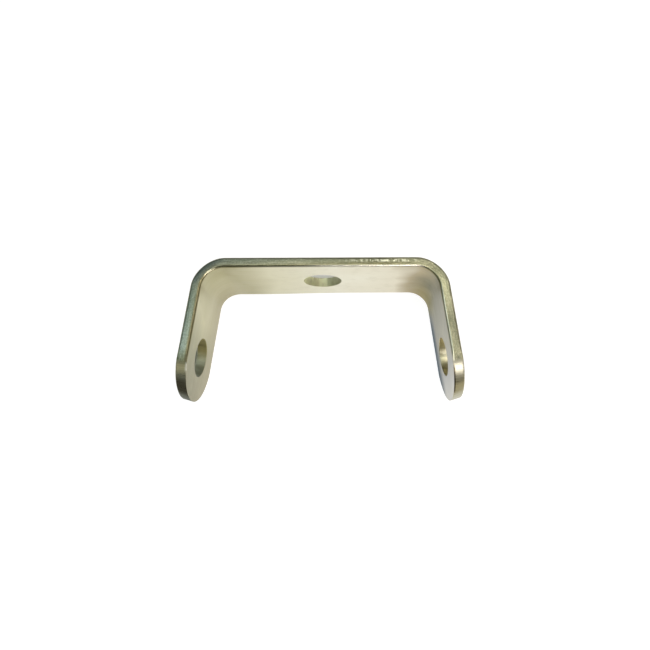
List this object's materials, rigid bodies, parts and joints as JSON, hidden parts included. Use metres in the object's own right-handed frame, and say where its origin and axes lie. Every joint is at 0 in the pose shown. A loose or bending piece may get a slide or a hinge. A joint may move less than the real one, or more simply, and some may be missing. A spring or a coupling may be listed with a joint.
{
  "type": "ladder stabilizer u-bracket",
  "caption": "U-shaped bracket bent from flat steel strap, with rounded, outward-leaning ears and a round bolt hole through the web and each ear.",
  "frame": {"origin": "centre of the web's bolt hole, on the web's outer face", "axes": "+X along the web, from one ear to the other; +Y out of the web's outer face, away from the ears; +Z across the strap's width"},
  "size_m": [0.093, 0.0456, 0.03],
  "materials": {
    "zinc_plated_steel": "zinc plated with a pale yellow passivate, satin, mottled along the strap's rolled edges, bright on the sheared ear ends"
  },
  "bodies": {
    "root": {"bracket": "zinc_plated_steel"}
  },
  "joints": []
}
